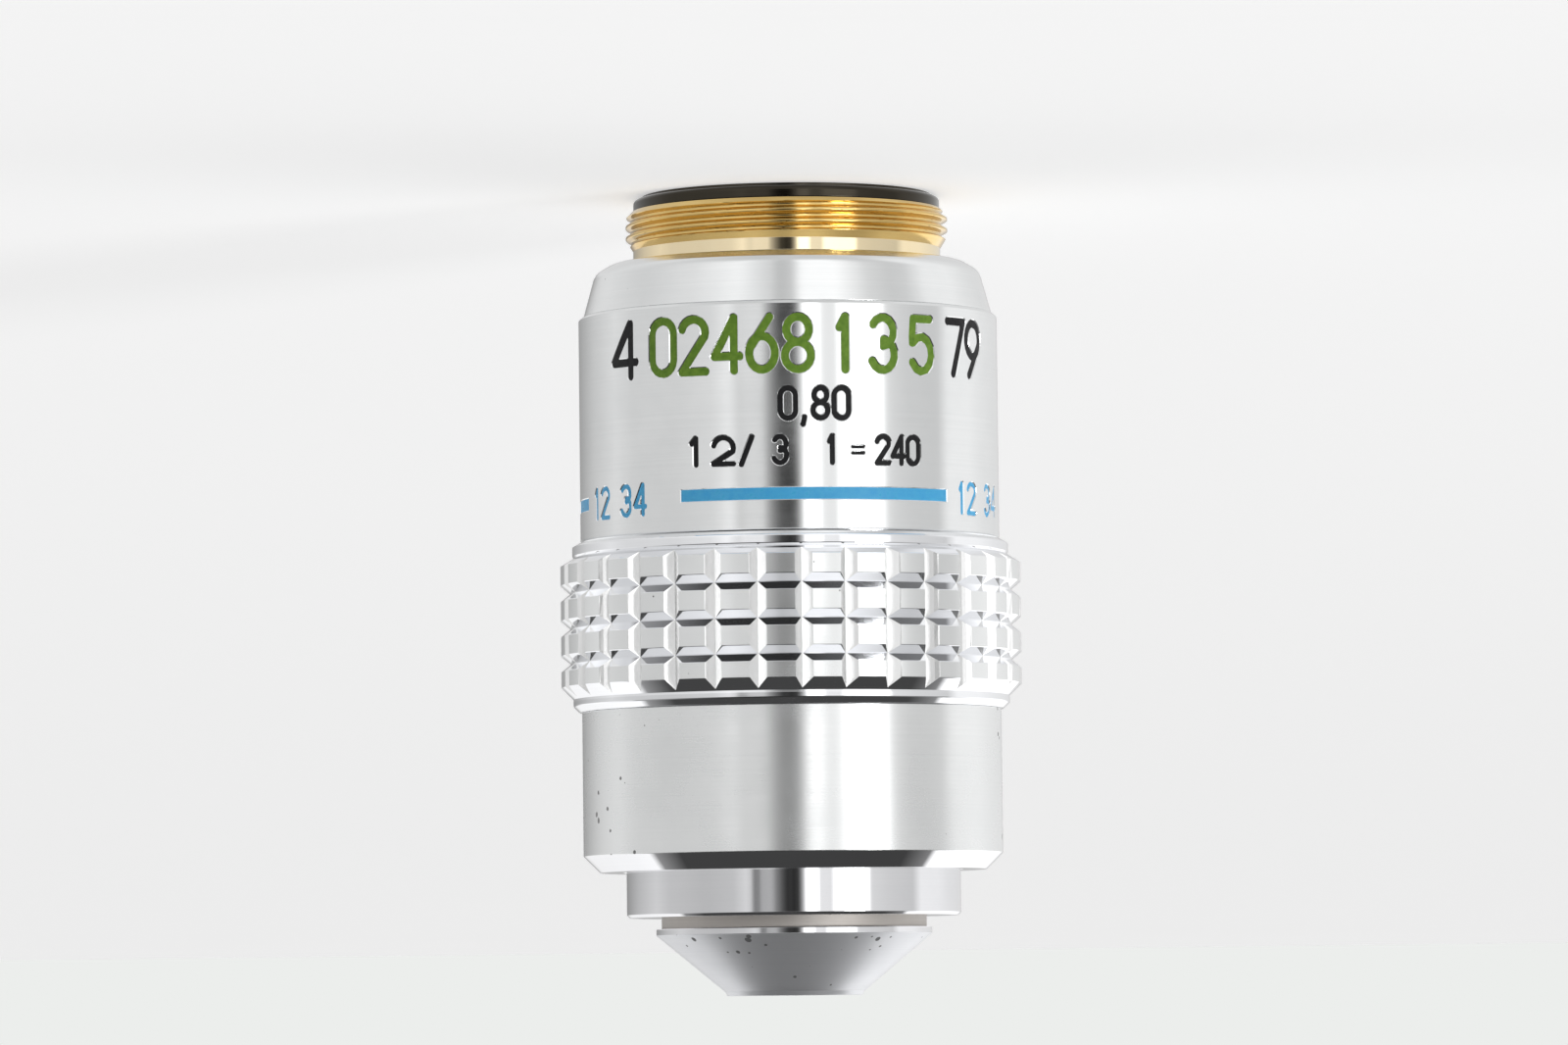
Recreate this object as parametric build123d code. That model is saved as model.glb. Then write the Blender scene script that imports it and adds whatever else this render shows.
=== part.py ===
from build123d import *
from math import copysign, cos, pi, sin, sqrt
import os

# A microscope objective with a sprung nose, in millimetres.
# +Z runs along the optical axis from the mounting shoulder at height zero to the nose.
# Radii are measured from the optical axis. "Rear" is the thread end, "front" is the nose end.

# Fits
running_clearance = 0.06
screwed_clearance = 0.03
cement_gap = 0.02
face_gap = 0.05
overrun = 1.0

# Mounting thread, its relief and the stepped tube behind the shoulder
thread_major_radius = 10.125
thread_length = 2.50
thread_chamfer = 0.30
relief_depth = 0.475
relief_length = 0.85
relief_wall = 1.05
shoulder_width = 3.025
sleeve_wall = 1.30
tube_wall = 1.27
band_spigot_step = 0.80
band_lip_length = 1.00
bore_step_wall = 0.30
tube_chamfer = 0.25

# Black stop ring at the rear
stop_flange_inset = 0.495
stop_flange_thickness = 0.95
stop_flange_round = 0.32
stop_face_inset = 0.51
stop_face_height = 0.18
stop_wall = 2.07
stop_aperture_bevel = 0.80
stop_spigot_length = 3.40
spanner_slot_width = 1.40
spanner_slot_depth = 0.70
spanner_slot_reach = 1.80

# Shoulder band
band_length = 3.11
seat_width = 0.975
seat_inner_margin = 0.125
seat_relief_height = 0.40
band_taper = 0.37
band_rear_height = 0.61
band_inset = 0.79
band_edge_round = 0.22

# Engraved sleeve
sleeve_length = 14.31
sleeve_bevel_depth = 0.70
sleeve_bevel_length = 0.74
sleeve_edge_chamfer = 0.08

# Knurled grip ring
rim_height = 0.54
rim_chamfer_length = 0.33
rim_neck_depth = 0.11
rear_rim_length = 1.06
rear_rim_neck_length = 0.20
front_rim_length = 0.80
front_rim_chamfer = 0.38
knurl_height = 1.30
knurl_depth = 0.60
knurl_rows = 4
knurl_row_pitch = 2.24
knurl_row_opening = 1.00
knurl_last_pad_length = 0.99
knurl_columns = 32
knurl_column_opening = 1.10
knurl_phase = 8.05
knurl_rear_bevel = 0.46
knurl_front_bevel = 0.65

# Lower sleeve
lower_sleeve_length = 10.04
lower_end_chamfer = 1.03
guide_lip_length = 2.14
guide_lip_chamfer = 0.20

# Sliding lens barrel and the nose sleeve that closes it
slide_waist_depth = 0.27
slide_land_length = 4.50
tail_step = 2.17
tail_length = 6.50
tail_wall = 0.70
nose_sleeve_wall = 1.09
nose_spigot_inset = 0.80
nose_sleeve_reach = 2.67
nose_lip_thickness = 0.56
nose_edge_chamfer = 0.18

# Nose cone
neck_step = 2.17
neck_gap = 0.89
cone_shank_length = 3.70
cone_lip_height = 0.34
cone_lip_length = 0.40
cone_length = 3.54
tip_bevel_width = 0.16
tip_bevel_length = 0.27
tip_wall = 0.63
cone_web = 0.48

# Return spring, its seat washer and the travel of the nose
nose_travel = 2.00
spring_length = 8.50
spring_inset = 1.12
spring_wire_radius = 0.35
spring_turns = 5
spring_turn_points = 12
washer_thickness = 0.60
washer_margin = 0.13

# Guide screw
guide_screw_height = 6.58
screw_head_radius = 1.80
screw_head_thickness = 0.48
screw_head_recess = 0.64
screw_shank_radius = 1.25
screw_dog_radius = 0.75
screw_dog_reach = 0.90
screw_slot_width = 0.40
screw_slot_depth = 0.28
guide_slot_depth = 1.10

# Front lens and its mount
front_mount_radius = 3.60
front_lens_curve = 2.70
front_lens_flat_radius = 2.00
front_lens_recess = 0.16
front_lens_lip_radius = 2.17

# Lens cells: margins, lips and the fixed spacers
cell_margin = 0.50
cell_lip_depth = 0.40
cell_lip_length = 0.35
cell_edge_chamfer = 0.25
front_spacer_length = 0.60
middle_spacer_length = 1.60
spacer_wall = 1.40
meniscus_cell_wall = 2.30
lock_ring_thickness = 1.20
lock_ring_inset = 0.40
lock_ring_wall = 1.27
lock_ring_slot_width = 1.00

# Glass: rim radius of each group, then its surface curves and centre thicknesses from the
# front, as shares of that radius. A positive curve is hollow towards the rear.
meniscus_radius = 4.00
meniscus_curve_shares = (-2.00, -1.50)
meniscus_thickness_shares = (0.62,)
front_doublet_radius = 4.80
front_doublet_curve_shares = (2.90, -2.50, -5.00)
front_doublet_thickness_shares = (0.60, 0.21)
triplet_radius = 5.20
triplet_curve_shares = (3.10, -3.80, 2.70, -4.20)
triplet_thickness_shares = (0.42, 0.16, 0.40)
middle_doublet_radius = 5.00
middle_doublet_curve_shares = (3.00, -2.20, -8.00)
middle_doublet_thickness_shares = (0.54, 0.20)
rear_doublet_radius = 4.40
rear_doublet_curve_shares = (2.70, -2.30, -7.00)
rear_doublet_thickness_shares = (0.57, 0.21)
field_doublet_radius = 3.80
field_doublet_curve_shares = (2.40, -3.10, 3.20)
field_doublet_thickness_shares = (0.58, 0.20)

# The cell that fills the cone's cavity
meniscus_cell_radius = meniscus_radius + meniscus_cell_wall

# Heights of the joints between the pieces, worked out from the lengths above
thread_front = -relief_length
thread_rear = thread_front - thread_length
rear_end = thread_rear - stop_flange_thickness
band_end = band_length
sleeve_end = band_end + sleeve_length
knurl_start = sleeve_end + rear_rim_length
pad_start = knurl_start + knurl_rear_bevel
pad_end = pad_start + (knurl_rows - 1) * knurl_row_pitch + knurl_last_pad_length
knurl_end = pad_end + knurl_front_bevel
grip_end = knurl_end + front_rim_length
casing_end = grip_end + lower_sleeve_length
tube_end = casing_end - guide_lip_length
nose_sleeve_end = casing_end + nose_sleeve_reach
cone_lip_start = nose_sleeve_end + neck_gap
cone_start = cone_lip_start + cone_lip_length
cone_end = cone_start + cone_length
tip_end = cone_end + tip_bevel_length
bore_step = band_end + bore_step_wall
spring_rear = bore_step + washer_thickness
barrel_shoulder = spring_rear + spring_length
tail_end = barrel_shoulder - tail_length
spigot_start = tube_end - nose_spigot_inset
stack_front = cone_lip_start - cone_shank_length
barrel_front = nose_sleeve_end - nose_lip_thickness - face_gap
stack_rear = tail_end + lock_ring_inset + lock_ring_thickness

# Radii outside the tube, worked out from the thread
relief_radius = thread_major_radius - relief_depth
rear_bore_radius = relief_radius - relief_wall
seat_outer_radius = thread_major_radius + seat_width
body_radius = thread_major_radius + shoulder_width
band_front_radius = body_radius - band_inset
band_rear_radius = band_front_radius - band_taper
rim_radius = body_radius + rim_height
knurl_radius = body_radius + knurl_height
groove_radius = knurl_radius - knurl_depth
stop_flange_radius = thread_major_radius - stop_flange_inset
stop_spigot_radius = rear_bore_radius - screwed_clearance
stop_aperture_radius = stop_spigot_radius - stop_wall

# Radii of the tube and of what slides in it
sleeve_bore_radius = body_radius - sleeve_wall
main_tube_radius = sleeve_bore_radius - face_gap
band_spigot_radius = main_tube_radius - band_spigot_step
guide_bore_radius = main_tube_radius - tube_wall
slide_radius = guide_bore_radius - running_clearance
tail_radius = slide_radius - tail_step
stack_radius = tail_radius - tail_wall
cell_radius = stack_radius - screwed_clearance
spring_mean_radius = slide_radius - spring_inset
nose_spigot_radius = slide_radius - nose_sleeve_wall
neck_radius = slide_radius - neck_step
cone_lip_radius = neck_radius + cone_lip_height
tip_radius = front_mount_radius + tip_wall
cone_end_radius = tip_radius + tip_bevel_width


def turned(*points):
    """A solid of revolution from (radius, height) points, in order round its section."""
    return revolve(make_face(Polyline(*[(r, 0, z) for r, z in points], close=True)), Axis.Z)


def rounded_section(points, round_radius, corners):
    """A section in the XZ plane with some of its (radius, height) corners rounded."""
    face = make_face(Polyline(*[(r, 0, z) for r, z in points], close=True))
    places = [Vector(r, 0, z) for r, z in corners]
    chosen = [v for v in face.vertices() if any((v.center() - place).length < cement_gap for place in places)]
    return fillet(chosen, round_radius)


def sag(curve, radius):
    """How far a spherical surface falls towards the rear between the axis and a radius."""
    return copysign(abs(curve) - sqrt(curve**2 - radius**2), curve)


def cross_slot(width, reach, face_height, depth):
    """A bar across the axis, for a pair of spanner slots cut down from a rear face."""
    return Pos(0, 0, face_height + depth / 2 - overrun / 2) * Box(2 * reach, width, depth + overrun)


def mount_barrel():
    """Brass body: mounting thread, relief neck, spigot for the band and the long guide tube."""
    body = turned(
        (rear_bore_radius, thread_rear),
        (thread_major_radius - thread_chamfer, thread_rear),
        (thread_major_radius, thread_rear + thread_chamfer),
        (thread_major_radius, thread_front),
        (relief_radius, thread_front),
        (relief_radius, band_lip_length),
        (band_spigot_radius, band_lip_length),
        (band_spigot_radius, band_end),
        (main_tube_radius, band_end),
        (main_tube_radius, tube_end - tube_chamfer),
        (main_tube_radius - tube_chamfer, tube_end),
        (guide_bore_radius, tube_end),
        (guide_bore_radius, bore_step),
        (rear_bore_radius, bore_step),
    )
    return body - screw_hole()


def rear_stop_ring():
    """Black ring screwed into the rear bore, with a rounded rim and two spanner slots."""
    shoulder = rear_end + stop_face_height
    corner = (stop_flange_radius, shoulder)
    section = rounded_section(
        [
            (stop_aperture_radius + stop_aperture_bevel, rear_end),
            (stop_flange_radius - stop_face_inset, rear_end),
            (stop_flange_radius - stop_face_inset, shoulder),
            corner,
            (stop_flange_radius, thread_rear),
            (stop_spigot_radius, thread_rear),
            (stop_spigot_radius, thread_rear + stop_spigot_length),
            (stop_aperture_radius, thread_rear + stop_spigot_length),
            (stop_aperture_radius, rear_end + stop_aperture_bevel),
        ],
        stop_flange_round,
        [corner],
    )
    reach = stop_aperture_radius + spanner_slot_reach
    return revolve(section, Axis.Z) - cross_slot(spanner_slot_width, reach, rear_end, spanner_slot_depth)


def shoulder_ring():
    """Chromed band whose rear face is the mounting seat."""
    inner_seat = thread_major_radius + seat_inner_margin
    corners = [(seat_outer_radius, 0), (band_rear_radius, band_rear_height)]
    section = rounded_section(
        [
            (relief_radius + screwed_clearance, seat_relief_height),
            (inner_seat, 0),
            corners[0],
            corners[1],
            (band_front_radius, band_end),
            (band_spigot_radius + screwed_clearance, band_end),
            (band_spigot_radius + screwed_clearance, band_lip_length),
            (relief_radius + screwed_clearance, band_lip_length),
        ],
        band_edge_round,
        corners,
    )
    return revolve(section, Axis.Z)


def engraved_sleeve():
    """Plain chromed sleeve that carries the markings."""
    return turned(
        (sleeve_bore_radius, band_end),
        (body_radius - sleeve_bevel_depth, band_end),
        (body_radius, band_end + sleeve_bevel_length),
        (body_radius, sleeve_end - sleeve_edge_chamfer),
        (body_radius - sleeve_edge_chamfer, sleeve_end),
        (sleeve_bore_radius, sleeve_end),
    )


def grip_section():
    """Half section of the grip ring: rims, bevels and the row grooves between the pads."""
    points = [
        (sleeve_bore_radius, sleeve_end),
        (body_radius, sleeve_end),
        (rim_radius, sleeve_end + rim_chamfer_length),
        (rim_radius, knurl_start - rear_rim_neck_length),
        (rim_radius - rim_neck_depth, knurl_start),
        (knurl_radius, pad_start),
    ]
    for row in range(1, knurl_rows):
        groove_end = pad_start + row * knurl_row_pitch
        points += [
            (knurl_radius, groove_end - knurl_row_opening),
            (groove_radius, groove_end - knurl_row_opening / 2),
            (knurl_radius, groove_end),
        ]
    points += [
        (knurl_radius, pad_end),
        (rim_radius, knurl_end),
        (rim_radius, grip_end - front_rim_chamfer),
        (rim_radius - front_rim_chamfer, grip_end),
        (sleeve_bore_radius, grip_end),
    ]
    return points


def column_cutter():
    """A long V-shaped bar that planes one groove between two columns of pads."""
    widening = (knurl_depth + overrun) / knurl_depth
    half_width = knurl_column_opening / 2 * widening
    section = make_face(
        Polyline(
            (groove_radius, 0, 0),
            (knurl_radius + overrun, half_width, 0),
            (knurl_radius + overrun, -half_width, 0),
            close=True,
        )
    )
    return Pos(0, 0, knurl_start) * extrude(section, knurl_end - knurl_start, dir=(0, 0, 1))


def grip_ring():
    """Knurled ring: four rows of flat-topped pads in thirty-two columns."""
    cutter = column_cutter()
    pitch = 360 / knurl_columns
    cutters = [Rot(0, 0, knurl_phase + column * pitch) * cutter for column in range(knurl_columns)]
    return turned(*grip_section()) - cutters


def lower_sleeve():
    """Satin sleeve that closes the casing and guides the nose in its front lip."""
    return turned(
        (sleeve_bore_radius, grip_end),
        (body_radius, grip_end),
        (body_radius, casing_end - lower_end_chamfer),
        (body_radius - lower_end_chamfer, casing_end),
        (guide_bore_radius + guide_lip_chamfer, casing_end),
        (guide_bore_radius, casing_end - guide_lip_chamfer),
        (guide_bore_radius, tube_end),
        (sleeve_bore_radius, tube_end),
    )


def along_screw(radius, inner, outer):
    """A cylinder on the guide screw's axis between two distances from the optical axis."""
    height = sleeve_end + guide_screw_height
    length = outer - inner
    return Pos(0, inner + length / 2, height) * Rot(90, 0, 0) * Cylinder(radius, length)


def screw_hole():
    """Threaded hole and head recess for the guide screw."""
    head_floor = main_tube_radius - screw_head_recess
    shank = along_screw(screw_shank_radius + screwed_clearance, guide_bore_radius - overrun, head_floor + overrun)
    head = along_screw(screw_head_radius + face_gap, head_floor, main_tube_radius + overrun)
    return shank + head


def guide_screw():
    """Slotted screw whose plain dog end runs in the lens barrel's slot."""
    head_floor = main_tube_radius - screw_head_recess
    head_top = head_floor + screw_head_thickness
    shank_end = guide_bore_radius + face_gap
    dog_end = slide_radius - screw_dog_reach
    screw = along_screw(screw_head_radius, head_floor, head_top)
    screw += along_screw(screw_shank_radius, shank_end, head_floor)
    screw += along_screw(screw_dog_radius, dog_end, shank_end)
    height = sleeve_end + guide_screw_height
    slot = Pos(0, head_top, height) * Box(2 * screw_head_radius, 2 * screw_slot_depth, screw_slot_width)
    return screw - slot


def spring_washer():
    """Flat washer that the return spring pushes against."""
    return turned(
        (rear_bore_radius + washer_margin, bore_step),
        (guide_bore_radius - washer_margin, bore_step),
        (guide_bore_radius - washer_margin, spring_rear),
        (rear_bore_radius + washer_margin, spring_rear),
    )


def return_spring():
    """Compression spring with ground ends between the washer and the lens barrel."""
    rear = spring_rear + cement_gap
    front = barrel_shoulder - cement_gap
    steps = spring_turns * spring_turn_points
    points = []
    for step in range(steps + 1):
        angle = 2 * pi * step / spring_turn_points
        height = rear + (front - rear) * step / steps
        points.append((spring_mean_radius * cos(angle), spring_mean_radius * sin(angle), height))
    path = Spline(*points)
    wire = sweep(Plane(path @ 0, z_dir=path % 0) * Circle(spring_wire_radius), path, is_frenet=True)
    side = 2 * (spring_mean_radius + overrun)
    grinding = Box(side, side, overrun)
    return wire - [Pos(0, 0, rear - overrun / 2) * grinding, Pos(0, 0, front + overrun / 2) * grinding]


def guide_slot():
    """Blind slot in the lens barrel: its rear end stops the nose, its length sets the travel."""
    room = screw_dog_radius + face_gap
    height = sleeve_end + guide_screw_height
    depth = guide_slot_depth + overrun
    place = Pos(0, slide_radius - guide_slot_depth + depth / 2, height)
    end = Rot(90, 0, 0) * Cylinder(room, depth)
    middle = Pos(0, 0, nose_travel / 2) * Box(2 * room, depth, nose_travel)
    return place * (end + middle + Pos(0, 0, nose_travel) * end)


def lens_barrel():
    """Brass barrel that slides in the guide tube and holds the stack of lens cells."""
    body = turned(
        (stack_radius, tail_end),
        (tail_radius, tail_end),
        (tail_radius, barrel_shoulder),
        (slide_radius, barrel_shoulder),
        (slide_radius, barrel_shoulder + slide_land_length),
        (slide_radius - slide_waist_depth, barrel_shoulder + slide_land_length),
        (slide_radius - slide_waist_depth, spigot_start - slide_land_length),
        (slide_radius, spigot_start - slide_land_length),
        (slide_radius, spigot_start),
        (nose_spigot_radius, spigot_start),
        (nose_spigot_radius, barrel_front),
        (neck_radius + screwed_clearance, barrel_front),
        (neck_radius + screwed_clearance, stack_front),
        (stack_radius, stack_front),
    )
    return body - guide_slot()


def nose_sleeve():
    """Polished sleeve screwed over the front of the lens barrel."""
    return turned(
        (nose_spigot_radius + screwed_clearance, spigot_start),
        (slide_radius, spigot_start),
        (slide_radius, nose_sleeve_end - nose_edge_chamfer),
        (slide_radius - nose_edge_chamfer, nose_sleeve_end),
        (neck_radius + face_gap, nose_sleeve_end),
        (neck_radius + face_gap, nose_sleeve_end - nose_lip_thickness),
        (nose_spigot_radius + screwed_clearance, nose_sleeve_end - nose_lip_thickness),
    )


def nose_cone():
    """Satin cone screwed into the lens barrel, hollow for the meniscus and the front lens."""
    cavity_end = cavity_height()
    web_end = cavity_end + cone_web
    cavity_radius = meniscus_cell_radius + screwed_clearance
    passage = front_lens_curve + running_clearance
    return turned(
        (cavity_radius, stack_front),
        (neck_radius, stack_front),
        (neck_radius, cone_lip_start),
        (cone_lip_radius, cone_lip_start),
        (cone_lip_radius, cone_start),
        (cone_end_radius, cone_end),
        (tip_radius, tip_end),
        (front_mount_radius + cement_gap, tip_end),
        (front_mount_radius + cement_gap, web_end),
        (passage, web_end),
        (passage, cavity_end),
        (cavity_radius, cavity_end),
    )


def front_lens_centre():
    """Height of the centre of the front lens's sphere."""
    flat = tip_end - front_lens_recess
    return flat - sqrt(front_lens_curve**2 - front_lens_flat_radius**2)


def front_lens_mount():
    """Small steel mount rolled over the front lens, flush with the tip."""
    centre = front_lens_centre()
    seat_radius = front_lens_curve + cement_gap
    seat_height = centre + sqrt(seat_radius**2 - front_lens_lip_radius**2)
    middle = (seat_radius + front_lens_lip_radius) / 2
    bottom = cavity_height() + cone_web
    outline = [
        Polyline(
            (seat_radius, 0, centre),
            (seat_radius, 0, bottom),
            (front_mount_radius, 0, bottom),
            (front_mount_radius, 0, tip_end),
            (front_lens_lip_radius, 0, tip_end),
            (front_lens_lip_radius, 0, seat_height),
        ),
        ThreePointArc(
            (front_lens_lip_radius, 0, seat_height),
            (middle, 0, centre + sqrt(seat_radius**2 - middle**2)),
            (seat_radius, 0, centre),
        ),
    ]
    return revolve(make_face(outline), Axis.Z)


def front_lens():
    """Front lens: more than half a ball, with a flat facing the specimen."""
    ball = Pos(0, 0, front_lens_centre()) * Sphere(front_lens_curve)
    flat = tip_end - front_lens_recess
    cut = Pos(0, 0, flat + overrun) * Box(2 * front_lens_curve, 2 * front_lens_curve, 2 * overrun)
    return ball - cut


def element(radius, front, front_curve, rear, rear_curve):
    """One lens between two spherical surfaces given by vertex height and curve."""
    front_edge = front - sag(front_curve, radius)
    rear_edge = rear - sag(rear_curve, radius)
    half = radius / 2
    outline = [
        Line((0, 0, rear), (0, 0, front)),
        ThreePointArc((0, 0, front), (half, 0, front - sag(front_curve, half)), (radius, 0, front_edge)),
        Line((radius, 0, front_edge), (radius, 0, rear_edge)),
        ThreePointArc((radius, 0, rear_edge), (half, 0, rear - sag(rear_curve, half)), (0, 0, rear)),
    ]
    return revolve(make_face(outline), Axis.Z)


def glass_span(radius, curve_shares, thickness_shares):
    """How far a group reaches above its front vertex and below it."""
    above = max(0, -sag(curve_shares[0] * radius, radius))
    below = sum(thickness_shares) * radius + max(0, sag(curve_shares[-1] * radius, radius))
    return above, below


def cell_length(radius, curve_shares, thickness_shares):
    """Length of the cell that holds a group with its margins."""
    above, below = glass_span(radius, curve_shares, thickness_shares)
    return above + below + 2 * cell_margin


def glass_elements(radius, curve_shares, thickness_shares, front):
    """The cemented elements of a group, front one first, from its front vertex height."""
    pieces = []
    for index, share in enumerate(thickness_shares):
        rear = front - share * radius
        curves = [curve_shares[index] * radius, curve_shares[index + 1] * radius]
        pieces.append(element(radius, front, curves[0], rear, curves[1]))
        front = rear - cement_gap
    return pieces


def lens_cell(outer, radius, curve_shares, thickness_shares, top):
    """Turned cell with a seat behind the glass and a rolled lip before it."""
    above, _ = glass_span(radius, curve_shares, thickness_shares)
    front = top - cell_margin - above
    rear = front - sum(thickness_shares) * radius - (len(thickness_shares) - 1) * cement_gap
    aperture = radius - cell_lip_depth
    front_curve = curve_shares[0] * radius
    rear_curve = curve_shares[-1] * radius
    lip = front - min(sag(front_curve, aperture), sag(front_curve, radius)) + cement_gap
    seat = rear - max(sag(rear_curve, aperture), sag(rear_curve, radius)) - cement_gap
    bottom = top - cell_length(radius, curve_shares, thickness_shares)
    return turned(
        (aperture, bottom),
        (outer - cell_edge_chamfer, bottom),
        (outer, bottom + cell_edge_chamfer),
        (outer, top - cell_edge_chamfer),
        (outer - cell_edge_chamfer, top),
        (radius + cell_lip_length, top),
        (aperture, lip + cell_lip_length),
        (aperture, lip),
        (radius + cement_gap, lip),
        (radius + cement_gap, seat),
        (aperture, seat),
    )


def cavity_height():
    """Front end of the cone's cavity, where the meniscus cell rests."""
    length = cell_length(meniscus_radius, meniscus_curve_shares, meniscus_thickness_shares)
    return stack_front + length + face_gap


def spacer(bottom, top):
    """Plain ring between two cells."""
    return turned(
        (cell_radius - spacer_wall, bottom),
        (cell_radius, bottom),
        (cell_radius, top),
        (cell_radius - spacer_wall, top),
    )


def lens_lock_ring():
    """Threaded ring that holds the stack, with a pair of spanner slots."""
    bottom = tail_end + lock_ring_inset
    ring = turned(
        (cell_radius - lock_ring_wall, bottom),
        (cell_radius, bottom),
        (cell_radius, stack_rear),
        (cell_radius - lock_ring_wall, stack_rear),
    )
    return ring - cross_slot(lock_ring_slot_width, cell_radius + overrun, bottom, lock_ring_thickness / 2)


# Each group's rim radius, surface curves and centre thicknesses, and the names of its glasses
groups = {
    "front_doublet": (front_doublet_radius, front_doublet_curve_shares, front_doublet_thickness_shares),
    "triplet": (triplet_radius, triplet_curve_shares, triplet_thickness_shares),
    "middle_doublet": (middle_doublet_radius, middle_doublet_curve_shares, middle_doublet_thickness_shares),
    "rear_doublet": (rear_doublet_radius, rear_doublet_curve_shares, rear_doublet_thickness_shares),
    "field_doublet": (field_doublet_radius, field_doublet_curve_shares, field_doublet_thickness_shares),
}
glass_names = {2: ("crown", "flint"), 3: ("front_crown", "flint", "rear_crown")}


def group_nodes(name, top):
    """A cell and its glass, named after the group."""
    radius, curves, thicknesses = groups[name]
    above, _ = glass_span(radius, curves, thicknesses)
    glass = glass_elements(radius, curves, thicknesses, top - cell_margin - above)
    nodes = {name + "_cell": lens_cell(cell_radius, radius, curves, thicknesses, top)}
    for kind, piece in zip(glass_names[len(glass)], glass):
        nodes[name + "_" + kind] = piece
    return nodes


def lens_stack():
    """Cells and spacers from the front of the barrel to the lock ring."""
    nodes = {}
    top = stack_front
    gaps = {"front_doublet": front_spacer_length, "middle_doublet": middle_spacer_length}
    for name, sizes in groups.items():
        nodes.update(group_nodes(name, top))
        top -= cell_length(*sizes)
        if name in gaps:
            nodes[name.replace("doublet", "spacer")] = spacer(top - gaps[name], top)
            top -= gaps[name]
        if name == "rear_doublet":
            field_top = stack_rear + cell_length(*groups["field_doublet"])
            nodes["rear_spacer"] = spacer(field_top, top)
            top = field_top
    return nodes


def meniscus_nodes():
    """The meniscus lens and its cell inside the nose cone."""
    sizes = (meniscus_radius, meniscus_curve_shares, meniscus_thickness_shares)
    above, _ = glass_span(*sizes)
    top = stack_front + cell_length(*sizes)
    return {
        "meniscus_cell": lens_cell(meniscus_cell_radius, *sizes, top),
        "meniscus_lens": glass_elements(*sizes, top - cell_margin - above)[0],
    }


def all_nodes():
    """Every piece of the objective by name."""
    nodes = {
        "mount_barrel": mount_barrel(),
        "rear_stop_ring": rear_stop_ring(),
        "shoulder_ring": shoulder_ring(),
        "engraved_sleeve": engraved_sleeve(),
        "grip_ring": grip_ring(),
        "lower_sleeve": lower_sleeve(),
        "guide_screw": guide_screw(),
        "spring_washer": spring_washer(),
        "return_spring": return_spring(),
        "lens_barrel": lens_barrel(),
        "nose_sleeve": nose_sleeve(),
        "nose_cone": nose_cone(),
        "front_lens_mount": front_lens_mount(),
        "front_lens": front_lens(),
        "lens_lock_ring": lens_lock_ring(),
    }
    nodes.update(meniscus_nodes())
    nodes.update(lens_stack())
    return nodes


os.makedirs("parts", exist_ok=True)
for node, shape in all_nodes().items():
    export_step(shape, "parts/" + node + ".step")
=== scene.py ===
import math

import bpy
import numpy as np
from mathutils import Matrix, Vector, geometry


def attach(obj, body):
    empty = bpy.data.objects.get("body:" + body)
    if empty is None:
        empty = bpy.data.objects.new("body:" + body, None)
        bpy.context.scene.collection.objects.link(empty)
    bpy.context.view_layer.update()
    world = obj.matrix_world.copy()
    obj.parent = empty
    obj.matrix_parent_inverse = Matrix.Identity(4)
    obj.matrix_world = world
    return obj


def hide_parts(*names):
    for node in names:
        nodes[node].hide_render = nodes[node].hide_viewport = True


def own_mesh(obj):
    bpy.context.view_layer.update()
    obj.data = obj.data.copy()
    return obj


# A microscope objective with a sprung nose. Lengths are millimetres unless a name says
# otherwise, and MM turns them into Blender's metres. The markings' turns are degrees round
# the optical axis from the side that faces the camera, positive towards the image's right;
# every other angle is polar.
MM = 0.001
SEGMENTS = 288
EASE_STEPS = 4

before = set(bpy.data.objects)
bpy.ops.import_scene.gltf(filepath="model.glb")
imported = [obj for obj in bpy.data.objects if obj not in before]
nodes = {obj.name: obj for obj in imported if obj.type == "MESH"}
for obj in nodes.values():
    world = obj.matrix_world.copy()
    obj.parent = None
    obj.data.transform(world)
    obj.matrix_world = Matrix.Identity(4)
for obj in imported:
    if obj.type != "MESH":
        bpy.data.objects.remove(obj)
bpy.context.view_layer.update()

# Heights above the mounting shoulder
REAR_END = -4.30
THREAD_REAR = -3.35
THREAD_FRONT = -0.85
SEAT_STEP = 1.00
BAND_END = 3.11
BAND_FRONT = 3.34
GUIDE_REAR = 3.41
SLEEVE_START = 3.52
SLEEVE_END = 17.42
SLEEVE_EDGE = SLEEVE_END - 0.08
GRIP_END = 28.10
TUBE_END = 36.00
CASING_END = 38.14
CONE_REAR = 38.00
NOSE_SLEEVE_END = 40.81
CONE_LIP = 41.70
CONE_START = 42.10
LENS_SEAT = 42.02
LENS_FACE = 42.50
TIP = 45.91

# Radii
BODY_RADIUS = 13.15
BORE_RADIUS = 11.85
TUBE_RADIUS = 11.80
SEAT_RADIUS = 11.00
GUIDE_RADIUS = 10.53
SLIDE_RADIUS = 10.47
THREAD_RADIUS = 10.125
THREAD_BORE = 8.60
RING_RADIUS = 9.63
RING_TAIL = 8.57
LIGHT_RADIUS = 6.50
BARREL_RADIUS = 9.41
NOSE_BORE = 8.35
CONE_FIT = 8.30
CONE_RADIUS = 8.64
STACK_RADIUS = 6.33
MOUNT_RADIUS = 3.62
LENS_RADIUS = 2.76

# Roundings of turned edges: hardly broken, and broken
FINE = 0.03
EDGE = 0.05


def polar(radius, angle, z):
    return (radius * math.cos(angle), radius * math.sin(angle), z)


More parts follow.
